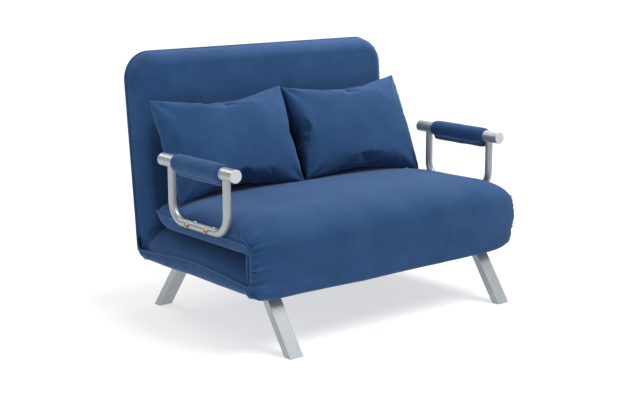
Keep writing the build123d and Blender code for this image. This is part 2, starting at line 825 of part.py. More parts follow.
def pillow(x):
    """Soft square-cornered pillow, thickest at its middle, leaning on the backrest."""
    side_view = across(bulge(pillow_height, pillow_edge), -pillow_width / 2, pillow_width / 2)
    end_outline = Rot(0, 0, 90) * bulge(pillow_width - 2 * pillow_end_inset, pillow_side_edge)
    end_view = Pos(0, 0, -pillow_height) * extrude(end_outline, amount=2 * pillow_height)
    foot_z = seat_crown + pillow_rest_gap + sin_deg(pillow_lean) * pillow_edge / 2
    foot = (x, hinge_y - pillow_foot_inset, foot_z)
    return Pos(*foot) * Rot(-pillow_lean, 0, 0) * Pos(0, 0, pillow_height / 2) * (side_view & end_view)


def build_pillows():
    sleeve_inner = arm_x - arm_bar_radius - sleeve_ease - sleeve_thickness
    reach = sleeve_inner - pillow_outer_gap - pillow_width / 2
    for name, side in SIDES:
        save("pillow_" + name, pillow(side * reach))


build_base()
build_link()
build_seat()
build_back()
build_pillows()

os.makedirs("parts", exist_ok=True)
for node_name, shape in nodes.items():
    export_step(shape, "parts/" + node_name + ".step")
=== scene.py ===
import json
import math

import bpy
import numpy as np
from mathutils import Matrix, Vector, noise


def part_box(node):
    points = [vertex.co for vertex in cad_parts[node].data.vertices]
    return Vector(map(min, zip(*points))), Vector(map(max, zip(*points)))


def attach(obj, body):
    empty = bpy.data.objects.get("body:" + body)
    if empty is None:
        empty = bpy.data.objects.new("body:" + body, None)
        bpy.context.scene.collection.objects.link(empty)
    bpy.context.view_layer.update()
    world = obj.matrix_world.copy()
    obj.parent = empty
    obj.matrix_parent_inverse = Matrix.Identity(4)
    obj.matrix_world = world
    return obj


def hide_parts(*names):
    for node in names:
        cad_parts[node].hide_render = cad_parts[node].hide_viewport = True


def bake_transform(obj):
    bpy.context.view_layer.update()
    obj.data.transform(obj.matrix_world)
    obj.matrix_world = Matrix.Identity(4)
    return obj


# A two-seat folding sofa bed in suede-like cloth on a silver frame. Metres, in the packed
# frame: X across the seat, +Y to the back, +Z up.
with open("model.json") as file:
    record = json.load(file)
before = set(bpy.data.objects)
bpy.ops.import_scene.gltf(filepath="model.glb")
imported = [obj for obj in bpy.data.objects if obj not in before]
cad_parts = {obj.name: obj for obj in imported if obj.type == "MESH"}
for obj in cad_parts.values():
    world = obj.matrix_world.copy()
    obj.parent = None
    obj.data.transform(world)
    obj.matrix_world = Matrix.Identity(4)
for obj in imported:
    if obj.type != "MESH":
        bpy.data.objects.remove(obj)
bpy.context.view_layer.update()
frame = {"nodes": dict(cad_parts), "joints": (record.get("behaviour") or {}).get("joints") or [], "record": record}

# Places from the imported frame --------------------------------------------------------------

joints = {joint["name"]: joint for joint in frame["joints"]}
LOWER = joints["front_fold"]["pos_m"][1:]
UPPER = joints["seat_fold"]["pos_m"][1:]
HINGE = joints["back_recline"]["pos_m"][1:]
seat_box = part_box("seat_cover")
base_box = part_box("base_cover")
back_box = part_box("back_cover")

half_width = seat_box[1].x
seat_under, seat_crown = seat_box[0].z, seat_box[1].z
seat_rear = seat_box[1].y
base_under, base_top = base_box[0].z, base_box[1].z
base_rear = base_box[1].y
seat_nose = seat_crown - UPPER[1]
base_nose = LOWER[1] - base_under
gap_middle = (base_top + seat_under) / 2

# Backrest, along and across its own leaning plane
back_lean = math.radians(5.0)
back_front = 0.062
back_rear = 0.035
back_corner = 0.080
back_edge = 0.024  # how round its front upper edge is, seen from the side
back_joint_z = HINGE[1] + 0.085  # how far up the back the outer panel reaches
back_edge_up = back_box[1].z - back_edge - HINGE[1]
back_length = (back_edge_up - (back_front - back_edge) * math.sin(back_lean)) / math.cos(back_lean)
back_length += back_edge

# Sewing
piping_radius = 0.0034
seat_piping_height = 0.300
seat_piping_rear = seat_piping_height + 0.010
seat_piping_front = seat_piping_height - 0.007
base_piping_height = 0.187
base_piping_bow = 0.013  # how far the base's piping bows up between its ends
wall_piping_bow = 0.008  # and the front panel's piping bows forward
welt_depth = 0.015  # the narrow side strip of the front panel
corner_y = UPPER[0] - 0.010  # the front panel's piping, seen from the side
seat_shoulder = 0.080  # how far behind the upper fold the seat begins to fall
seat_brow = UPPER[1] - 0.012  # where the rounded shoulder meets the front wall
seat_rear_rise = 0.050  # how far the seat takes to reach its full height
rear_corner_start = 0.955  # share of the half width where the rear corners begin to round
rear_corner_round = 0.012

# Pillows, as they lie
pillow_tall, pillow_thick = 0.306, 0.125
pillow_lean = 26.0
pillow_foot_y = HINGE[0] - 0.193
pillow_dip = 0.016  # how far a pillow presses the seat down
pillow_dip_reach = 0.07

SIDES = (("left", -1), ("right", 1))
random = np.random.default_rng(7)


# Mesh helpers ------------------------------------------------------------------------------


def add_mesh(name, points, faces, material):
    mesh = bpy.data.meshes.new(name)
    mesh.from_pydata([tuple(point) for point in points], [], faces)
    mesh.polygons.foreach_set("use_smooth", [True] * len(mesh.polygons))
    mesh.materials.append(material)
    mesh.update()
    piece = bpy.data.objects.new(name, mesh)
    bpy.context.scene.collection.objects.link(piece)
    return piece


def grid_faces(rows, columns, flip=False, around=False):
    """Quads of a grid of points stored row by row; around joins the last column to the first."""
    faces = []
    for row in range(rows - 1):
        for column in range(columns if around else columns - 1):
            following = (column + 1) % columns
            a = row * columns + column
            b = row * columns + following
            quad = (a, b, b + columns, a + columns)
            faces.append(quad[::-1] if flip else quad)
    return faces


def grid_piece(name, grid, material, flip=False):
    rows, columns = grid.shape[:2]
    return add_mesh(name, grid.reshape(-1, 3), grid_faces(rows, columns, flip), material)


def closed_rings(name, rings, material, flip=False):
    """Rings of points joined one to the next, with both ends closed."""
    rows, columns = rings.shape[:2]
    faces = grid_faces(rows, columns, flip, around=True)
    first = list(range(columns))
    last = [(rows - 1) * columns + index for index in range(columns)]
    faces.append(tuple(first if flip else first[::-1]))
    faces.append(tuple(last[::-1] if flip else last))
    return add_mesh(name, rings.reshape(-1, 3), faces, material)


def normals_of(grid):
    """Unit normal at each point of a grid."""
    down = np.gradient(grid, axis=0)
    along = np.gradient(grid, axis=1)
    normal = np.cross(along, down)
    return normal / np.maximum(np.linalg.norm(normal, axis=2, keepdims=True), 1e-9)


def tube(name, path, radius, material, sides=10):
    """Round tube along a path of points, closed at both ends."""
    path = np.asarray(path, float)
    tangent = np.gradient(path, axis=0)
    tangent /= np.linalg.norm(tangent, axis=1, keepdims=True)
    guide = np.array((1.0, 0.0, 0.0)) if abs(tangent[0][0]) < 0.8 else np.array((0.0, 0.0, 1.0))
    rings = []
    for point, direction in zip(path, tangent):
        first = guide - direction * (guide @ direction)
        first /= np.linalg.norm(first)
        guide = first
        second = np.cross(direction, first)
        turns = np.linspace(0, 2 * math.pi, sides, endpoint=False)
        rings.append([point + radius * (math.cos(a) * first + math.sin(a) * second) for a in turns])
    return closed_rings(name, np.array(rings), material, flip=True)


def smooth_noise(grid, size, seed):
    """Slow noise from -1 to 1 at each point of a grid."""
    shift = Vector((seed * 7.3, seed * 3.1, seed * 5.7))
    flat = grid.reshape(-1, 3)
    values = [noise.noise(Vector(point) / size + shift) for point in flat]
    return np.array(values).reshape(grid.shape[:2])


def line(start, end, count):
    """Points from start towards end, which is left to the next stretch."""
    share = np.linspace(0, 1, count, endpoint=False)[:, None]
    return np.array(start) * (1 - share) + np.array(end) * share


def arc(centre, radius, start, end, count):
    """Points of an arc in (y, z), its angles in degrees from +Y towards +Z."""
    angles = np.radians(np.linspace(start, end, count, endpoint=False))
    return np.array(centre) + radius * np.stack((np.cos(angles), np.sin(angles)), axis=1)


def ramp(value, low, high):
    """From 0 to 1, eased, as the value goes from low to high."""
    share = np.clip((value - low) / (high - low), 0, 1)
    return share * share * (3 - 2 * share)


# Materials ---------------------------------------------------------------------------------


class Finish:
    """A material as it is built up: its shader, and textures in the piece's own coordinates."""

    def __init__(self, name, colour, roughness, metallic=0.0):
        self.material = bpy.data.materials.new(name)
        self.material.use_nodes = True
        self.nodes = self.material.node_tree.nodes
        self.links = self.material.node_tree.links
        self.shader = self.nodes["Principled BSDF"]
        self.place = self.nodes.new("ShaderNodeTexCoord").outputs["Object"]
        self.set("Base Color", (*colour, 1))
        self.set("Roughness", roughness)
        self.set("Metallic", metallic)

    def set(self, socket, value):
        self.shader.inputs[socket].default_value = value

    def noise(self, scale, detail=3.0, roughness=0.5):
        node = self.nodes.new("ShaderNodeTexNoise")
        node.inputs["Scale"].default_value = scale
        node.inputs["Detail"].default_value = detail
        node.inputs["Roughness"].default_value = roughness
        self.links.new(self.place, node.inputs["Vector"])
        return node.outputs["Fac"]

    def ribs(self, scale, distortion):
        node = self.nodes.new("ShaderNodeTexWave")
        node.bands_direction = "Y"
        node.inputs["Scale"].default_value = scale
        node.inputs["Distortion"].default_value = distortion
        self.links.new(self.place, node.inputs["Vector"])
        return node.outputs["Fac"]

    def ramp(self, factor, stops):
        """Two stops, each a place from 0 to 1 and a colour."""
        node = self.nodes.new("ShaderNodeValToRGB")
        for stop, (place, colour) in zip(node.color_ramp.elements, stops):
            stop.position = place
            stop.color = (*colour, 1)
        self.links.new(factor, node.inputs["Fac"])
        return node.outputs["Color"]

    def vary_colour(self, factor, *stops):
        self.links.new(self.ramp(factor, stops), self.shader.inputs["Base Color"])

    def vary_roughness(self, factor, *stops):
        greys = [(place, (value,) * 3) for place, value in stops]
        self.links.new(self.ramp(factor, greys), self.shader.inputs["Roughness"])

    def bump(self, height, distance, strength, under=None):
        """Relief on the shader, over another relief if one is given."""
        node = self.nodes.new("ShaderNodeBump")
        node.inputs["Distance"].default_value = distance
        node.inputs["Strength"].default_value = strength
        self.links.new(height, node.inputs["Height"])
        if under is not None:
            self.links.new(under, node.inputs["Normal"])
        self.links.new(node.outputs["Normal"], self.shader.inputs["Normal"])
        return node.outputs["Normal"]


def suede(name, dark, light, nap=1.0):
    """Brushed microfibre: mottled nap, a soft sheen, fine fibres and slack ripples."""
    finish = Finish(name, dark, 0.86)
    brushed = finish.noise(210.0, 3.0, 0.6)
    fibre = finish.nodes.new("ShaderNodeMixRGB")
    fibre.blend_type = "SOFT_LIGHT"
    fibre.inputs["Fac"].default_value = 0.35
    mottled = finish.ramp(finish.noise(9.0, 5.0, 0.62), ((0.30, dark), (0.72, light)))
    finish.links.new(mottled, fibre.inputs["Color1"])
    finish.links.new(brushed, fibre.inputs["Color2"])
    finish.links.new(fibre.outputs["Color"], finish.shader.inputs["Base Color"])
    finish.set("Sheen Weight", 0.32)
    finish.set("Sheen Roughness", 0.38)
    finish.set("Sheen Tint", (0.42, 0.60, 0.95, 1))
    finish.set("Specular IOR Level", 0.18)
    finish.vary_roughness(brushed, (0.2, 0.78), (0.8, 0.95))
    ripples = finish.bump(finish.noise(26.0, 4.0, 0.55), 0.0022, 0.5)
    finish.bump(finish.noise(1300.0, 2.0, 0.7), 0.0004, 0.6 * nap, under=ripples)
    return finish.material


def painted_silver():
    """Silver powder coat: fine flake, slight orange peel and scuffs."""
    finish = Finish("silver_paint", (0.36, 0.38, 0.40), 0.42, 0.60)
    flake = finish.noise(900.0, 2.0, 0.6)
    finish.vary_colour(flake, (0.3, (0.31, 0.33, 0.345)), (0.75, (0.43, 0.455, 0.475)))
    finish.vary_roughness(finish.noise(38.0, 6.0, 0.7), (0.35, 0.34), (0.75, 0.50))
    finish.bump(finish.noise(340.0, 2.0), 0.0002, 0.5)
    return finish.material


def black_paint():
    """Satin black paint of the inner frame."""
    finish = Finish("black_frame", (0.02, 0.02, 0.022), 0.45)
    grain = finish.noise(160.0, 4.0)
    finish.vary_roughness(grain, (0.3, 0.38), (0.8, 0.6))
    finish.bump(grain, 0.0002, 0.6)
    return finish.material


def metal(name, dark, light, roughness):
    """Plated metal with turning marks and faint tarnish."""
    finish = Finish(name, light, roughness, 1.0)
    finish.vary_colour(finish.noise(120.0, 5.0, 0.65), (0.3, dark), (0.7, light))
    finish.bump(finish.noise(1500.0, 2.0), 0.0001, 0.5)
    return finish.material


def moulded_plastic():
    """Grey moulded plastic with a fine grain."""
    finish = Finish("grey_plastic", (0.52, 0.53, 0.55), 0.45)
    grain = finish.noise(700.0, 3.0)
    finish.vary_colour(grain, (0.3, (0.46, 0.47, 0.49)), (0.75, (0.58, 0.59, 0.61)))
    finish.bump(grain, 0.0002, 0.6)
    return finish.material


def webbing(name, dark, light):
    """Woven elastic: dark threads between lighter ribs."""
    finish = Finish(name, dark, 0.8)
    ribs = finish.ribs(160.0, 0.6)
    finish.vary_colour(ribs, (0.2, dark), (0.8, light))
    finish.bump(ribs, 0.0005, 0.8)
    return finish.material


NAVY_DARK = (0.013, 0.047, 0.130)
NAVY_LIGHT = (0.021, 0.066, 0.168)
cloth = suede("blue_cloth", NAVY_DARK, NAVY_LIGHT)
lining = suede("blue_lining", (0.008, 0.026, 0.075), (0.014, 0.042, 0.110))
cord_cloth = suede("piping_cloth", (0.016, 0.056, 0.150), (0.030, 0.086, 0.205), 0.6)
thread = suede("thread", (0.030, 0.085, 0.200), (0.050, 0.120, 0.260), 0.4)
silver = painted_silver()
black = black_paint()
zinc = metal("zinc_steel", (0.42, 0.43, 0.45), (0.62, 0.63, 0.66), 0.34)
brass = metal("brass_bolt", (0.27, 0.18, 0.09), (0.46, 0.33, 0.19), 0.38)
plastic = moulded_plastic()
elastic = webbing("strap", (0.012, 0.012, 0.014), (0.045, 0.045, 0.050))

NODE_MATERIALS = {
    "silver_paint": silver,
    "black_frame": black,
    "zinc_steel": zinc,
    "brass_bolt": brass,
    "grey_plastic": plastic,
    "strap": elastic,
    "blue_cloth": cloth,
    "foam": lining,
}


def finish_cad_nodes():
    """Each carried-over node takes the material of its slot in the record."""
    for part in frame["record"]["subparts"]:
        node = frame["nodes"][part["node"]]
        node.data.materials.clear()
        node.data.materials.append(NODE_MATERIALS[part["material_slot"]])


# Outer panel: seat top, front wall and underside, one strip of cloth between two pipings ----

COLUMNS = 201
CROWN_POWER = 2.8
across = np.sin(np.linspace(-1, 1, COLUMNS) * math.pi / 2)  # closer together at the edges


def outer_crest(rows, top_start):
    """The panel's middle line, in (y, z): it rises, runs forward, turns down the front, and comes
    back under the base to the backrest."""
    shoulder = UPPER[0] + seat_shoulder
    turn = np.linspace(0, math.pi / 2, rows["rise"], endpoint=False)
    rise = np.stack((seat_rear - seat_rear_rise * (1 - np.cos(turn)),
                     seat_piping_rear + (seat_crown - seat_piping_rear) * np.sin(turn)), axis=1)
    turn = np.linspace(math.pi / 2, math.pi, rows["nose"], endpoint=False)
    nose = np.stack((shoulder + (seat_shoulder + seat_nose) * np.cos(turn),
                     seat_brow + (seat_crown - seat_brow) * np.sin(turn)), axis=1)
    low_nose = arc((0, 0), 1, 180, 270, rows["low_nose"])
    squared = np.sign(low_nose) * np.abs(low_nose) ** 0.5
    back_foot = (HINGE[0] + base_nose, HINGE[1])
    crest = np.concatenate((
        rise,
        line((top_start, seat_crown), (shoulder, seat_crown), rows["top"]),
        nose,
        line((UPPER[0] - seat_nose, seat_brow), (LOWER[0] - base_nose, LOWER[1]), rows["wall"]),
        np.array(LOWER) + base_nose * squared,
        line((LOWER[0], base_under), (0, base_under), rows["under"]),
        line((0, base_under), (HINGE[0], base_under), rows["far"]),
        arc(HINGE, base_nose, 270, 360, rows["roll"]),
        line(back_foot, (HINGE[0] + back_rear + 0.002, back_joint_z), rows["up"]),
    ))
    before_wall = rows["rise"] + rows["top"] + rows["nose"]
    from_foot = crest[:before_wall, 0] - pillow_foot_y - 0.03
    crest[:before_wall, 1] -= pillow_dip * np.exp(-(from_foot / pillow_dip_reach) ** 2)
    return crest


def outer_piping(rows, top_start):
    """The panel's edge at each side, in (y, z), with as many points as its crest."""
    top_round, low_round, roll = 0.022, 0.014, 0.020
    top_corner = (corner_y + top_round, seat_piping_front - top_round)
    low_corner = (corner_y + 0.012, base_piping_height + 0.010)
    roll_centre = (HINGE[0] - 0.018, base_piping_height + 0.014)
    top_begin = (top_start, seat_piping_height + 0.003)
    middle = (0, base_piping_height)
    piping = np.concatenate((
        line((seat_rear, seat_piping_rear), top_begin, rows["rise"]),
        line(top_begin, (top_corner[0], seat_piping_front), rows["top"]),
        arc(top_corner, top_round, 90, 180, rows["nose"]),
        line((corner_y, top_corner[1]), (corner_y, low_corner[1]), rows["wall"]),
        arc(low_corner, low_round, 180, 270, rows["low_nose"]),
        line((low_corner[0], low_corner[1] - low_round), middle, rows["under"]),
        line(middle, (roll_centre[0], roll_centre[1] - roll), rows["far"]),
        arc(roll_centre, roll, 270, 360, rows["roll"]),
        line((roll_centre[0] + roll, roll_centre[1]), (HINGE[0] + 0.008, back_joint_z), rows["up"]),
    ))
    wall = rows["rise"] + rows["top"] + rows["nose"]
    piping[wall:wall + rows["wall"], 0] -= wall_piping_bow * np.sin(np.linspace(0, math.pi, rows["wall"]))
    under = wall + rows["wall"] + rows["low_nose"]
    under_rows = rows["under"] + rows["far"]
    piping[under:under + under_rows, 1] += base_piping_bow * np.sin(np.linspace(0, math.pi, under_rows))
    return piping


panel_rows = {
    "rise": 20,
    "top": 84,
    "nose": 56,
    "wall": 58,
    "low_nose": 30,
    "under": 50,
    "far": 50,
    "roll": 22,
    "up": 16,
}
crest_line = outer_crest(panel_rows, seat_rear - seat_rear_rise)
piping_line = outer_piping(panel_rows, seat_rear - seat_rear_rise)
row_starts = dict(zip(panel_rows, np.cumsum([0, *panel_rows.values()])))
row_count = len(crest_line)
row_number = np.arange(row_count)


def along_rows(**values):
    """A value for each row: given by section, eased from one section to the next."""
    places = [row_starts[name] + panel_rows[name] / 2 for name in values]
    return np.interp(row_number, places, list(values.values()))


def rear_corner(u):
    """From 0 to 1 over the last stretch before each side, to round the seat's rear corners."""
    return np.clip((np.abs(u) - rear_corner_start) / (1 - rear_corner_start), 0, 1) ** 2


def outer_panel():
    """Grid of the outer panel: full in its middle, drawn down to the piping at both sides."""
    power = along_rows(rise=14, top=16, nose=12, wall=13, low_nose=26, under=30, far=30, roll=16, up=14)
    square = along_rows(rise=0.72, top=0.70, nose=0.84, wall=0.93, low_nose=0.97, under=1, up=1)
    swell = along_rows(rise=0.001, top=0, nose=0.026, wall=0.036, low_nose=0.022, under=0.004, far=0.003,
                       roll=0.002, up=0)
    u = across[None, :]
    edge = np.sqrt(np.clip(1 - np.abs(u) ** power[:, None], 0, 1))
    crown = 1 - np.abs(u) ** CROWN_POWER
    height = square[:, None] * edge + (1 - square[:, None]) * crown
    fuller_right = np.where(u > 0, 1.0, 0.30)
    x = half_width * u + np.sign(u) * swell[:, None] * fuller_right * np.sin(math.pi * edge)
    y = piping_line[:, None, 0] + (crest_line[:, None, 0] - piping_line[:, None, 0]) * height
    z = piping_line[:, None, 1] + (crest_line[:, None, 1] - piping_line[:, None, 1]) * height
    rear = np.clip(1 - row_number / panel_rows["rise"], 0, 1)[:, None]
    corner = rear_corner(u)
    x = x * (1 - rear_corner_round * rear * corner)
    y = y - rear_corner_round * rear ** 2 * corner
    return np.stack((np.broadcast_to(x, y.shape), y, z), axis=2)


def crease_field(side, specs):
    """Depth of the gathers that run in from the piping on one side: narrow valleys between
    soft ridges. Each spec is a first row, last row, how many, their length and depth, and
    their width in rows. Those on the right are shorter and shallower."""
    side_length, side_depth = (0.55, 0.5) if side > 0 else (1, 1)
    field = np.zeros((row_count, COLUMNS))
    inwards = (1 - across * side) * half_width
    turned_edge = 0.055 * np.sqrt(np.clip(1 - np.clip(across * side, 0, 1) ** 12, 0, 1))
    travelled = inwards + turned_edge
    for first, last, count, length, depth, rows_wide in specs:
        starts = np.linspace(first, last, count) + random.uniform(-1.6, 1.6, count)
        for start in starts:
            reach = length * random.uniform(0.45, 1.25) * side_length
            width = rows_wide * random.uniform(0.75, 1.3)
            deep = depth * random.uniform(0.5, 1.2) * side_depth
            fade = np.clip(1 - travelled / reach, 0, 1)
            centre = start + random.uniform(-90, 90) * travelled
            off = (row_number[:, None] - centre[None, :]) / width
            spread = 1 + 6 * travelled[None, :]
            valley = np.exp(-1.3 * np.abs(off / spread) ** 1.25)
            ridge = np.exp(-((np.abs(off) / spread - 2.2) / 1.1) ** 2)
            field += (0.22 * ridge - valley) * (deep * fade)[None, :]
    return field


def outer_panel_with_folds():
    """The outer panel with gathers at its sides and slack waves all over."""
    grid = outer_panel()
    wall = row_starts["wall"]
    nose = row_starts["nose"]
    low = row_starts["low_nose"]
    under = row_starts["under"]
    rear = row_starts["roll"]
    folds = np.zeros(grid.shape[:2])
    for _, side in SIDES:
        folds += crease_field(side, (
            (nose - 4, nose + 14, 3, 0.060, 0.0050, 2.6),
            (nose + 18, wall, 7, 0.095, 0.0110, 2.2),
            (wall + 2, low, 9, 0.090, 0.0110, 1.5),
            (low + 3, under, 5, 0.105, 0.0100, 2.0),
            (under + 5, rear, 13, 0.040, 0.0016, 1.2),
            (row_starts["top"] + 4, nose - 8, 7, 0.034, 0.0014, 1.2),
            (rear - 8, rear + 24, 8, 0.050, 0.0026, 1.6),
        ))
    settle = 0.0026 * smooth_noise(grid, 0.20, 1) + 0.0006 * smooth_noise(grid, 0.05, 2)
    inside = ramp(1 - np.abs(across), 0.0, 0.008)[None, :]
    closing = ramp(row_number, 0, 10)[:, None]
    return grid + normals_of(grid) * ((folds + settle) * inside * closing)[:, :, None]


def blend_upper(piece):
    """Piece across the upper fold, from seat to front panel: only its transform is baked into its mesh."""
    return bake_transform(piece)


def blend_lower(piece):
    """Piece across the lower fold, from front panel to base: only its transform is baked into its mesh."""
    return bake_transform(piece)


def blend_rear(piece):
    """Piece across the hinge, from base to backrest: only its transform is baked into its mesh."""
    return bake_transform(piece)


def build_outer_panel():
    """Three skins cut from one panel, so that each crosses one fold only."""
    grid = outer_panel_with_folds()
    wall_cut = (row_starts["wall"] + row_starts["low_nose"]) // 2
    base_cut = row_starts["far"]
    seat_skin = grid_piece("seat_skin", grid[:wall_cut + 1], cloth, flip=True)
    front_skin = grid_piece("front_skin", grid[wall_cut:base_cut + 1], cloth, flip=True)
    rear_skin = grid_piece("base_rear_skin", grid[base_cut:], cloth, flip=True)
    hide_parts("seat_cover", "seat_pad_top")
    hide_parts("front_panel_cover", "front_panel_pad")
    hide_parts("base_pad_bottom")
    blend_upper(seat_skin)
    blend_lower(front_skin)
    blend_rear(rear_skin)
    build_piping(grid, wall_cut, base_cut)


def build_piping(grid, wall_cut, base_cut):
    """Piping along both sides of the outer panel, and along the seat's rear edge."""
    rear_end = len(grid) - 4
    outward = piping_radius * 0.4
    for name, side in SIDES:
        edge = grid[:, -1 if side > 0 else 0].copy()
        edge[:, 0] += side * outward
        upper = tube("seat_piping_" + name, edge[:wall_cut + 1], piping_radius, cord_cloth)
        lower = tube("front_piping_" + name, edge[wall_cut:base_cut + 1], piping_radius, cord_cloth)
        rear = tube("base_piping_" + name, edge[base_cut:rear_end], piping_radius, cord_cloth)
        for piece, blend in ((upper, blend_upper), (lower, blend_lower), (rear, blend_rear)):
            blend(piece)
    rear_edge = grid[0].copy()
    rear_edge[:, 1] += outward
    piping = tube("seat_piping_rear", rear_edge, piping_radius, cord_cloth)
    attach(piping, "seat")


# Inner panels: the two faces that lie on each other ----------------------------------------


def seat_inner_panel():
    """Seat's lower face, drawn up to the piping at its sides and rear."""
    count = 96
    rear_round = 0.060
    front = UPPER[0] + 0.004
    y = np.linspace(seat_rear, front, count)
    top_piping = piping_line[:row_starts["nose"]]
    piping_z = np.interp(-y, -top_piping[:, 0], top_piping[:, 1])
    from_rear = np.clip((seat_rear - y) / rear_round, 0, 1)
    depth_at_rear = np.sqrt(np.clip(1 - (1 - from_rear) ** 2, 0, 1))
    u = across[None, :]
    edge = np.clip(1 - np.abs(u) ** 34, 0, 1) ** 0.60
    depth = (piping_z - seat_under - 0.0008)[:, None] * depth_at_rear[:, None] * edge
    rear = np.clip(1 - (seat_rear - y) / seat_rear_rise, 0, 1)[:, None]
    corner = rear_corner(u)
    x = half_width * u * (1 - rear_corner_round * rear * corner)
    y = y[:, None] - rear_corner_round * rear ** 2 * corner
    grid = np.stack((x, y, piping_z[:, None] - depth), axis=2)
    ripple = 0.0012 * smooth_noise(grid, 0.05, 5) * (1 - np.abs(edge - 0.5) * 2)
    grid[:, :, 0] += np.sign(u) * np.abs(ripple)
    piece = grid_piece("seat_inner_panel", grid, cloth)
    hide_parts("seat_pad_bottom")
    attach(piece, "seat")


def base_inner_panel():
    """Base's upper face and the deep side below it, down to the piping."""
    count = 150
    closer = 0.94  # rows lie closer together towards the rear
    rear_drop = 0.018
    front = LOWER[0] + 0.004
    rear = HINGE[0] - 0.004
    turn = np.linspace(0, closer, count) * math.pi / 2
    y = front + (rear - front) * np.sin(turn) / math.sin(closer * math.pi / 2)
    low_piping = piping_line[row_starts["under"]:row_starts["roll"]]
    piping_z = np.interp(y, low_piping[:, 0], low_piping[:, 1])
    top = base_top - rear_drop * ramp(y, base_rear - 0.002, base_rear + 0.014)
    u = across[None, :]
    power = np.interp(y, (front, base_rear), (8, 24))[:, None]
    edge = np.clip(1 - np.abs(u) ** power, 0, 1) ** 0.80
    height = (top - piping_z)[:, None] * edge
    pull_start = base_rear - 0.03
    pull_in = 0.018 * np.clip((y - pull_start) / (rear - pull_start), 0, 1) ** 1.6
    x = (half_width - pull_in)[:, None] * u
    grid = np.stack((x, y[:, None] * np.ones_like(x), piping_z[:, None] + height), axis=2)
    side_part = np.clip(1 - np.abs(edge - 0.4) * 1.8, 0, 1)
    grid[:, :, 0] += np.sign(u) * side_part * (0.003 + 0.0016 * smooth_noise(grid, 0.09, 8))
    grid[:, :, 0] += np.sign(u) * hinge_fan(grid, rear) * side_part
    piece = grid_piece("base_inner_panel", grid, cloth, flip=True)
    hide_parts("base_cover", "base_pad_top")
    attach(piece, "base")


def hinge_fan(grid, rear):
    """Folds that fan out forward from the rear lower corner of the base's side."""
    rel_y = grid[:, :, 1] - rear
    rel_z = grid[:, :, 2] - base_piping_height
    fan = np.zeros(grid.shape[:2])
    for aim in np.radians(np.linspace(6, 66, 8) + random.uniform(-3, 3, 8)):
        off = rel_y * math.sin(aim) + rel_z * math.cos(aim)
        fade = np.clip(1 + rel_y / math.cos(aim) / 0.070, 0, 1)
        fan -= 0.0050 * np.exp(-(off / 0.0022) ** 2) * fade
        fan += 0.0020 * np.exp(-((off - 0.0045) / 0.0026) ** 2) * fade
    return fan


def front_welts():
    """Narrow side strip of the front panel, with a second piping along its inner edge."""
    low, high = base_piping_height + 0.006, seat_piping_height - 0.026
    turns = np.linspace(0, math.pi, 12)
    for name, side in SIDES:
        rings = []
        for share_up in np.linspace(0, 1, 34):
            narrow = 0.45 + 0.55 * math.sin(math.pi * share_up) ** 0.5
            y = corner_y + welt_depth * (0.5 - 0.5 * np.cos(turns)) * narrow
            x = side * (half_width - 0.007 + 0.0055 * np.sin(turns) ** 0.7)
            rings.append(np.stack((x, y, np.full_like(y, low + (high - low) * share_up)), axis=1))
        strip = closed_rings("front_welt_" + name, np.array(rings), cloth, flip=side < 0)
        share_up = np.linspace(0, 1, 40)
        inner_y = corner_y + welt_depth - 0.002 * np.cos(5.6 * share_up)
        inner_x = np.full(40, side * (half_width - 0.0015))
        inner = np.stack((inner_x, inner_y, low + (high + 0.002 - low) * share_up), axis=1)
        cord = tube("front_welt_piping_" + name, inner, piping_radius * 0.8, cord_cloth)
        for piece in (strip, cord):
            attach(piece, "front_link")


def prism(name, outline, centre, divisions, material):
    """Closed bar across the sofa with the given side view, rounded off at its two ends as the
    base is: it shrinks to a centre, given for each point of the divided outline."""
    outline = [np.array(point, float) for point in outline]
    ring = []
    for start, end in zip(outline, outline[1:] + outline[:1]):
        for step in range(divisions):
            ring.append(start + (end - start) * step / divisions)
    ring = np.array(ring)
    shrink = np.clip(1 - np.abs(across) ** 16, 0.001, 1) ** 0.80
    aim = np.array([centre(point) for point in ring])
    rings = []
    for u, size in zip(across, shrink):
        placed = aim + (ring - aim) * size
        rings.append(np.column_stack((np.full(len(ring), half_width * u), placed)))
    return closed_rings(name, np.array(rings), material, flip=True)


def fold_inserts():
    """Gusset that lies folded in the gap between seat and base: a wedge on the panel, and a web to each neighbour."""
    lower_reach = base_top - LOWER[1]
    upper_reach = UPPER[1] - seat_under
    tip = (LOWER[0] + (lower_reach + upper_reach) / 2, gap_middle)
    sag, clear = 0.006, 0.002
    middle = (LOWER[0] + tip[0]) / 2
    wedge = prism("fold_wedge", (LOWER, UPPER, tip), lambda point: (LOWER[0], point[1]), 6, lining)
    lower = prism("fold_web_lower", (LOWER, tip, (middle, base_top - sag), (LOWER[0], base_top - clear)),
                  lambda point: LOWER, 10, cloth)
    upper = prism("fold_web_upper", (UPPER, (UPPER[0], seat_under + clear), (middle, seat_under + sag), tip),
                  lambda point: UPPER, 10, cloth)
    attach(wedge, "front_link")
    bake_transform(lower)
    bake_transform(upper)


# Backrest ----------------------------------------------------------------------------------


def lean(points):
    """From the backrest's own (x, forward to rear, up from the hinge) to the frame."""
    points = np.asarray(points, float)
    y = HINGE[0] + points[..., 1] * math.cos(back_lean) + points[..., 2] * math.sin(back_lean)
    z = HINGE[1] - points[..., 1] * math.sin(back_lean) + points[..., 2] * math.cos(back_lean)
    return np.stack((points[..., 0], y, z), axis=-1)


def back_pull(up):
    """How far the cloth is drawn in at each side, low down where the hinge is."""
    return 0.016 * np.clip(1 - up / 0.07, 0, 1) ** 1.6


def back_outline_half(up):
    """Half the backrest's width at each height."""
    over = np.clip(up - (back_length - back_corner), 0, back_corner)
    corner = back_corner - np.sqrt(np.clip(back_corner ** 2 - over ** 2, 0, None))
    return half_width - corner - back_pull(up)


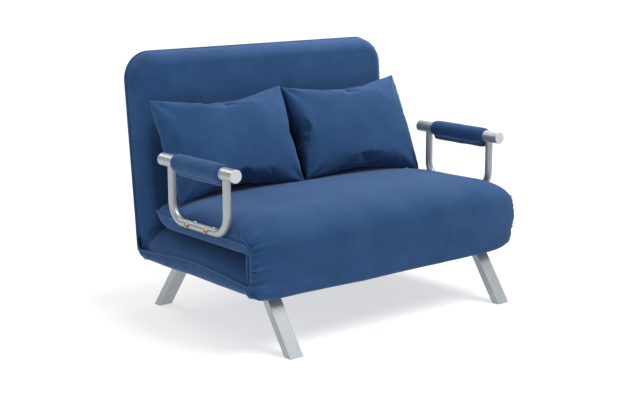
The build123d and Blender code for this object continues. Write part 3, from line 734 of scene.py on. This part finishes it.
def edge_distance(x, up):
    """Distance to the backrest's piping, from inside."""
    side = half_width - np.abs(x)
    top = back_length - up
    in_corner = (side < back_corner) & (top < back_corner)
    reach = back_corner - np.hypot(back_corner - side, back_corner - top)
    return np.clip(np.where(in_corner, reach, np.minimum(side, top)), 0, None)


def back_panel(name, offset, radius, crown, bottom, lower_share, seed, flip):
    """Front or rear face of the backrest: offset from its middle plane, rounded off to the piping
    over a radius, crowned in the middle and thinner at the hinge by its lower share."""
    corner_up = back_length - back_corner
    turn = np.linspace(0, math.pi / 2, 34)
    up = np.concatenate((np.linspace(bottom, corner_up, 120, endpoint=False),
                         corner_up + back_corner * np.sin(turn)))
    x = back_outline_half(up)[:, None] * across[None, :]
    up = up[:, None] * np.ones_like(x)
    distance = edge_distance(x * half_width / (half_width - back_pull(up)), up)
    depth = np.sqrt(np.clip(1 - (1 - np.clip(distance / radius, 0, 1)) ** 2, 0, 1))
    middle = np.clip(distance / 0.22, 0, 1)
    level = abs(offset) - crown + crown * np.sin(middle * math.pi / 2)
    from_hinge = np.clip(up / 0.055, 0, 1)
    level = level * (lower_share + (1 - lower_share) * np.sin(from_hinge * math.pi / 2))
    outward = math.copysign(1, offset)
    grid = np.stack((x, outward * level * depth, up), axis=2)
    wave = 0.0022 * smooth_noise(grid, 0.15, seed) + 0.0010 * smooth_noise(grid, 0.05, seed + 1)
    along = np.where(back_length - up < np.abs(half_width - np.abs(x)), x, up)
    rim = np.clip(1 - distance / 0.030, 0, 1) * np.clip(distance / 0.006, 0, 1)
    waver = 4 * smooth_noise(grid, 0.06, seed + 2)
    puckers = 0.0011 * np.sin(along * 2 * math.pi / 0.021 + waver) * rim
    grid[:, :, 1] += outward * (wave * depth + puckers)
    piece = grid_piece(name, lean(grid), cloth, flip)
    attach(piece, "back")
    return piece


def back_piping():
    """Piping round the backrest, on its middle plane, from hinge to hinge."""
    start = 0.030
    corner_x = half_width - back_corner
    corner_up = back_length - back_corner
    side_up = np.linspace(start, corner_up, 60, endpoint=False)
    turn = np.linspace(0, math.pi / 2, 16)
    right = [(back_outline_half(up), 0, up) for up in side_up]
    right += [(corner_x + back_corner * math.cos(a), 0, corner_up + back_corner * math.sin(a)) for a in turn]
    left = [(-x, y, up) for x, y, up in reversed(right)]
    top = [(x, 0, back_length) for x in np.linspace(corner_x, -corner_x, 60)[1:-1]]
    path = np.array(right + top + left, float)
    path[:, 0] *= 1 + 0.4 * piping_radius / half_width
    piece = tube("back_piping", lean(path), piping_radius, cord_cloth)
    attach(piece, "back")


def hinge_pleat():
    """Pleat between the base's upper face and the backrest."""
    near = np.array((base_rear - 0.003, base_top))
    deep = np.array((HINGE[0] - 0.045, HINGE[1] + 0.045))
    far = np.array((HINGE[0] - 0.057, HINGE[1] + 0.0605))
    lowered = 0.955  # all of it drawn in towards the hinge, to lie below the bed's top
    profile = np.concatenate((line(near, deep, 12), line(deep, far, 12), [far]))
    u = across[::2]
    skirt = 1 - 0.30 * np.clip((np.abs(u) - 0.985) / 0.015, 0, 1)
    rel = lowered * (profile - np.array(HINGE))[:, None, :] * skirt[None, :, None]
    x = np.broadcast_to((half_width - 0.006) * u, rel.shape[:2])
    grid = np.stack((x, HINGE[0] + rel[:, :, 0], HINGE[1] + rel[:, :, 1]), axis=2)
    piece = grid_piece("hinge_pleat", grid, cloth, flip=True)
    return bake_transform(piece)


def hinge_ends():
    """Where the cloth is gathered at each end of the hinge: a shallow dome of folds."""
    radius = base_nose - 0.004
    base_x, dome, rim_depth, fold = half_width - 0.022, 0.014, 0.020, 0.0022
    turns = np.linspace(0, 2 * math.pi, 72, endpoint=False)
    for name, side in SIDES:
        folds = np.sin(turns * 11 + side) * 0.5 + np.sin(turns * 7 + 2) * 0.5
        grid = []
        for share in np.linspace(0.02, 1, 14):
            x = base_x + dome * math.cos(share * math.pi / 2) + fold * folds * math.sin(share * math.pi)
            grid.append(np.stack((side * x, HINGE[0] + radius * share * np.cos(turns),
                                  HINGE[1] + radius * share * np.sin(turns)), axis=1))
        grid.append(grid[-1] - np.array((side * rim_depth, 0, 0)))
        piece = closed_rings("hinge_end_" + name, np.array(grid), cloth, flip=side > 0)
        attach(piece, "base")


def build_back():
    """Backrest's two faces, its piping, and the cloth at the hinge."""
    front = back_panel("back_front_panel", -back_front, radius=0.040, crown=0.006, bottom=-0.002,
                       lower_share=0.72, seed=11, flip=False)
    rear = back_panel("back_rear_panel", back_rear, radius=0.030, crown=0.004, bottom=0.010,
                      lower_share=0.90, seed=15, flip=True)
    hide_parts("back_cover", "back_pad_front")
    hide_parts("back_pad_rear")
    back_piping()
    hinge_pleat()
    hinge_ends()


# Pillows -----------------------------------------------------------------------------------


def pillow_outline(u, v, width, flare):
    """Square-cornered outline before it is filled, a little wider at one end by its flare."""
    x = width / 2 * u * (1 + 0.012 * (1 - v ** 2) * np.abs(u) ** 3) * (1 + flare * v)
    drawn = np.where(v > 0, 0.030, -0.030)
    z = pillow_tall / 2 * v * (1 - drawn * (1 - u ** 2) * np.abs(v) ** 2)
    return x, z


def pillow_faces(width, flare, rows, columns):
    """Points and faces of a front and a rear face that share their rim."""
    u = np.linspace(-1, 1, columns)[None, :] * np.ones((rows, 1))
    v = np.linspace(-1, 1, rows)[:, None] * np.ones((1, columns))
    x, z = pillow_outline(u, v, width, flare)
    swell = np.clip((1 - u ** 2) * (1 - v ** 2), 0, 1) ** 0.45 * pillow_thick * 0.47
    points, faces, places = [], [], []
    index = {}

    def corner(row, column, face_side):
        rim = row in (0, rows - 1) or column in (0, columns - 1)
        key = (row, column, 0 if rim else face_side)
        if key not in index:
            index[key] = len(points)
            points.append((x[row, column], face_side * swell[row, column], z[row, column]))
            places.append((u[row, column], v[row, column], key[2]))
        return index[key]

    for face_side in (1, -1):
        for row in range(rows):
            for column in range(columns):
                corner(row, column, face_side)
        for row in range(rows - 1):
            for column in range(columns - 1):
                around = ((row, column), (row, column + 1), (row + 1, column + 1), (row + 1, column))
                quad = [corner(*place, face_side) for place in around]
                faces.append(tuple(quad if face_side < 0 else quad[::-1]))
    return np.array(points), faces, np.array(places)


def pillow_puckers(places, width, seed):
    """Height of the small gathers along the seam and of the folds that fan from each corner."""
    u, v, _ = places.T
    side = (1 - np.abs(u)) * width / 2
    end = (1 - np.abs(v)) * pillow_tall / 2
    seam = np.minimum(side, end)
    along = np.where(side < end, v * pillow_tall / 2, u * width / 2)
    waver = np.array([noise.noise(Vector((p * 30, seed, 0))) for p in along])
    gathers = np.sin(along * 2 * math.pi / 0.026 + 5 * waver) * (0.4 + np.abs(waver) * 1.6)
    gathers *= np.exp(-seam / 0.014) * np.clip(seam / 0.004, 0, 1)
    corner = np.hypot(side, end)
    angle = np.arctan2(end, side)
    folds = np.cos(angle * 9 + seed + 2 * np.sign(u) + np.sign(v))
    folds *= np.exp(-corner / 0.050) * np.clip(seam / 0.008, 0, 1)
    return 0.0036 * gathers + 0.0075 * folds


def seat_level(x, y):
    """Height of the seat's upper face at each place."""
    rows = slice(0, row_starts["nose"])
    crest_z = np.interp(-y, -crest_line[rows, 0], crest_line[rows, 1])
    piping_z = np.interp(-y, -piping_line[rows, 0], piping_line[rows, 1])
    u = np.clip(np.abs(x) / half_width, 0, 1)
    height = 0.70 * np.sqrt(1 - u ** 16) + 0.30 * (1 - u ** CROWN_POWER)
    return piping_z + (crest_z - piping_z) * height


def pillow(name, shift, flare, slant, seed):
    """Pillow of two faces, blown up by simulation, then leaned back and laid on the seat."""
    low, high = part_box(name)
    middle_x = (low.x + high.x) / 2 + shift
    width = high.x - low.x + 0.012
    points, faces, places = pillow_faces(width, flare, 53, 81)
    piece = add_mesh(name + "_cushion", points, faces, cloth)
    inflate(piece, pressure=3.2, slack=0.036, frames=22, cap=0.026)
    settled = np.array([vertex.co for vertex in piece.data.vertices])
    settled *= np.array((width, pillow_thick, pillow_tall)) / np.ptp(settled, axis=0)
    slack_wave = [noise.noise(Vector(point) / 0.08 + Vector((seed, 0, 0))) for point in points]
    settled[:, 1] += 0.0030 * np.array(slack_wave)
    settled[:, 1] += places[:, 2] * pillow_puckers(places, width, seed)
    settled[:, 2] *= 1 + slant * places[:, 0]
    turn = np.array(Matrix.Rotation(-math.radians(pillow_lean), 3, "X"))
    foot = np.array((middle_x, pillow_foot_y, seat_crown - pillow_dip - 0.002))
    placed = (settled + np.array((0, 0, pillow_tall / 2))) @ turn.T + foot
    below = seat_level(0, pillow_foot_y) - seat_level(placed[:, 0], pillow_foot_y)
    placed[:, 2] -= below * (0.5 - 0.5 * places[:, 1])
    placed[:, 2] = np.maximum(placed[:, 2], seat_level(placed[:, 0], placed[:, 1]) + 0.0012)
    piece.data.vertices.foreach_set("co", placed.astype(np.float32).ravel())
    piece.data.update()
    subdivide(piece, 1)
    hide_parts(name)
    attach(piece, name)


def subdivide(piece, levels):
    """One smoother mesh, with the modifier applied."""
    modifier = piece.modifiers.new("smooth", "SUBSURF")
    modifier.levels = levels
    modifier.render_levels = levels
    bpy.ops.object.select_all(action="DESELECT")
    bpy.context.view_layer.objects.active = piece
    piece.select_set(True)
    bpy.ops.object.modifier_apply(modifier=modifier.name)
    piece.data.polygons.foreach_set("use_smooth", [True] * len(piece.data.polygons))


def inflate(piece, pressure, slack, frames, cap):
    """Cloth simulation with air pressure; slack lets the cloth grow, so that it puckers."""
    scene = bpy.context.scene
    before = np.array([vertex.co for vertex in piece.data.vertices])
    modifier = piece.modifiers.new("cloth", "CLOTH")
    settings = modifier.settings
    settings.quality = 5
    settings.mass = 0.3
    settings.tension_stiffness = 15
    settings.compression_stiffness = 15
    settings.shear_stiffness = 5
    settings.bending_stiffness = 0.3
    settings.use_pressure = True
    settings.uniform_pressure_force = pressure
    settings.shrink_min = -slack
    settings.effector_weights.gravity = 0
    modifier.collision_settings.use_collision = False
    modifier.point_cache.frame_end = frames + 1
    for number in range(1, frames + 1):
        scene.frame_set(number)
    graph = bpy.context.evaluated_depsgraph_get()
    after = np.array([vertex.co for vertex in piece.evaluated_get(graph).data.vertices])
    piece.modifiers.remove(modifier)
    scene.frame_set(1)
    move = after - before
    length = np.linalg.norm(move, axis=1, keepdims=True)
    move *= np.minimum(1, cap / np.maximum(length, 1e-9))
    piece.data.vertices.foreach_set("co", (before + move).astype(np.float32).ravel())
    piece.data.update()


# Armrest sleeves ---------------------------------------------------------------------------

hem_width = 0.014
stitch_radius = 0.0006
stitch_half = 0.0017


def sleeve(name, side):
    """Padded sleeve round the bar, gathered under two hems, its flap stitched below."""
    low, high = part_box("arm_sleeve_" + name)
    bar_low, bar_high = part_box("arm_bar_" + name)
    high.y -= 0.010
    x = (bar_low.x + bar_high.x) / 2
    z = (bar_low.z + bar_high.z) / 2
    outer = high.z - z
    inner = (bar_high.z - bar_low.z) / 2 + 0.0006
    end_radius = inner + 0.0015
    sides = 48
    y = np.linspace(low.y, high.y, 90)
    ends = np.minimum(y - low.y, high.y - y)
    body = end_radius + (outer - end_radius) * np.clip(ends / 0.012, 0, 1) ** 0.5
    hem_groove = 0.0016 * np.exp(-((ends - hem_width) / 0.0018) ** 2)
    turns = np.linspace(-math.pi / 2, 1.5 * math.pi, sides, endpoint=False)
    flap = np.exp(-(np.minimum(turns + math.pi / 2, 1.5 * math.pi - turns) / 0.16) ** 2)
    flap_drop = z - outer - low.z
    narrow = 1 - 0.55 * flap
    rings = []
    for place, radius, groove in zip(y, body, hem_groove):
        wobble = [noise.noise(Vector((a * 0.9, place * 28, side * 4.0))) for a in turns]
        radii = radius - groove + 0.0009 * np.array(wobble) * (radius > inner + 0.004) + flap * flap_drop
        rings.append(np.stack((x + radii * np.cos(turns) * narrow, np.full(sides, place),
                               z + radii * np.sin(turns)), axis=1))
    for place in (high.y, low.y):
        rings.append(np.stack((x + inner * np.cos(turns), np.full(sides, place),
                               z + inner * np.sin(turns)), axis=1))
    faces = grid_faces(len(rings), sides, around=True)
    last = (len(rings) - 1) * sides
    faces += [(last + a, last + (a + 1) % sides, (a + 1) % sides, a) for a in range(sides)]
    piece = add_mesh("sleeve_" + name, np.array(rings).reshape(-1, 3), faces, cloth)
    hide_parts("arm_sleeve_" + name)
    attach(piece, "seat")
    sleeve_stitches(name, x, z, outer, low, high)


def sleeve_stitches(name, x, z, outer, low, high):
    """Short thread stitches round both hems and along the flap."""
    points, faces = [], []
    around = 6

    def stitch(centre, along, out):
        side = np.cross(along, out)
        start = len(points)
        for end in (-1, 1):
            for turn in range(around):
                angle = turn * 2 * math.pi / around
                ring = stitch_radius * (math.cos(angle) * out + math.sin(angle) * side)
                points.append(centre + along * end * stitch_half + ring)
        for turn in range(around):
            following = (turn + 1) % around
            faces.append((start + turn, start + following, start + around + following, start + around + turn))
        faces.append(tuple(start + turn for turn in reversed(range(around))))
        faces.append(tuple(start + around + turn for turn in range(around)))

    for place in (low.y + hem_width, high.y - hem_width):
        for angle in np.radians(np.arange(-70, 251, 12)):
            out = np.array((math.cos(angle), 0, math.sin(angle)))
            along = np.array((-math.sin(angle), 0, math.cos(angle)))
            stitch(np.array((x, place, z)) + out * (outer - 0.0008), along, out)
    for place in np.arange(low.y + hem_width + 0.004, high.y - hem_width - 0.003, 0.006):
        for side in (-1, 1):
            centre = np.array((x + side * 0.0030, place, low.z + 0.0065))
            stitch(centre, np.array((0.0, 1.0, 0.0)), np.array((float(side), 0.0, 0.0)))
    piece = add_mesh("sleeve_stitches_" + name, points, faces, thread)
    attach(piece, "seat")


# Camera, light and floor -------------------------------------------------------------------


def add_camera(scene):
    """Long lens from the front left, a little above the backrest."""
    azimuth, elevation, roll = math.radians(-39.06), math.radians(11.79), math.radians(-0.2)
    eye = (-2.2771, -2.7826, 1.0585)
    camera_data = bpy.data.cameras.new("camera")
    camera_data.lens = 70.18
    camera_data.sensor_width = 36.0
    camera = bpy.data.objects.new("camera", camera_data)
    scene.collection.objects.link(camera)
    forward = Vector((-math.sin(azimuth) * math.cos(elevation), math.cos(azimuth) * math.cos(elevation),
                      -math.sin(elevation)))
    right = forward.cross(Vector((0, 0, 1))).normalized()
    up = right.cross(forward)
    right_rolled = right * math.cos(roll) + up * math.sin(roll)
    up_rolled = up * math.cos(roll) - right * math.sin(roll)
    rotation = Matrix((right_rolled, up_rolled, -forward)).transposed()
    camera.matrix_world = Matrix.Translation(eye) @ rotation.to_4x4()
    scene.camera = camera


def add_floor():
    """Pale ground far past the picture's edges."""
    reach = 60.0
    corners = [(-reach, -reach, 0), (reach, -reach, 0), (reach, reach, 0), (-reach, reach, 0)]
    finish = Finish("floor", (0.40, 0.40, 0.40), 0.9)
    finish.set("Emission Color", (1, 1, 1, 1))
    finish.set("Emission Strength", 0.62)
    floor = add_mesh("floor", corners, [(0, 1, 2, 3)], finish.material)


def add_world(scene):
    """Soft white light from all round, and a white backdrop that only the camera sees."""
    world = bpy.data.worlds.new("studio")
    world.use_nodes = True
    nodes, links = world.node_tree.nodes, world.node_tree.links
    ambient = nodes["Background"]
    backdrop = nodes.new("ShaderNodeBackground")
    for background, strength in ((ambient, 0.40), (backdrop, 1.05)):
        background.inputs["Color"].default_value = (1, 1, 1, 1)
        background.inputs["Strength"].default_value = strength
    seen = nodes.new("ShaderNodeLightPath")
    mix = nodes.new("ShaderNodeMixShader")
    links.new(seen.outputs["Is Camera Ray"], mix.inputs["Fac"])
    links.new(ambient.outputs["Background"], mix.inputs[1])
    links.new(backdrop.outputs["Background"], mix.inputs[2])
    links.new(mix.outputs["Shader"], nodes["World Output"].inputs["Surface"])
    scene.world = world


def add_light(scene, light_data, place):
    """Light at a place, aimed at the sofa's middle."""
    light = bpy.data.objects.new(light_data.name, light_data)
    light.location = place
    light.rotation_mode = "QUATERNION"
    light.rotation_quaternion = (Vector(place) - Vector((0, 0, 0.35))).to_track_quat("Z", "Y")
    scene.collection.objects.link(light)


def studio():
    """Camera, ground and light: a soft sun from the front right, and three lamps."""
    scene = bpy.context.scene
    add_camera(scene)
    add_floor()
    add_world(scene)
    key = bpy.data.lights.new("key", "SUN")
    key.energy = 2.75
    key.angle = math.radians(35)
    add_light(scene, key, (1.2, -1.4, 3.7))
    lamps = (
        ("fill", (-3.4, -1.2, 1.6), 1.6, 26),
        ("rim", (-0.9, 2.4, 2.6), 1.4, 26),
        ("crown", (0.85, 0.25, 1.45), 0.9, 11),
    )
    for name, place, size, power in lamps:
        lamp = bpy.data.lights.new(name, "AREA")
        lamp.size = size
        lamp.energy = power
        add_light(scene, lamp, place)
    scene.view_settings.view_transform = "Standard"


studio()
finish_cad_nodes()
build_outer_panel()
seat_inner_panel()
base_inner_panel()
front_welts()
fold_inserts()
build_back()
pillow("pillow_left", 0.002, 0.030, 0.045, 3.0)
pillow("pillow_right", 0.003, -0.002, 0.030, 9.0)
for side_name, side_sign in SIDES:
    sleeve(side_name, side_sign)
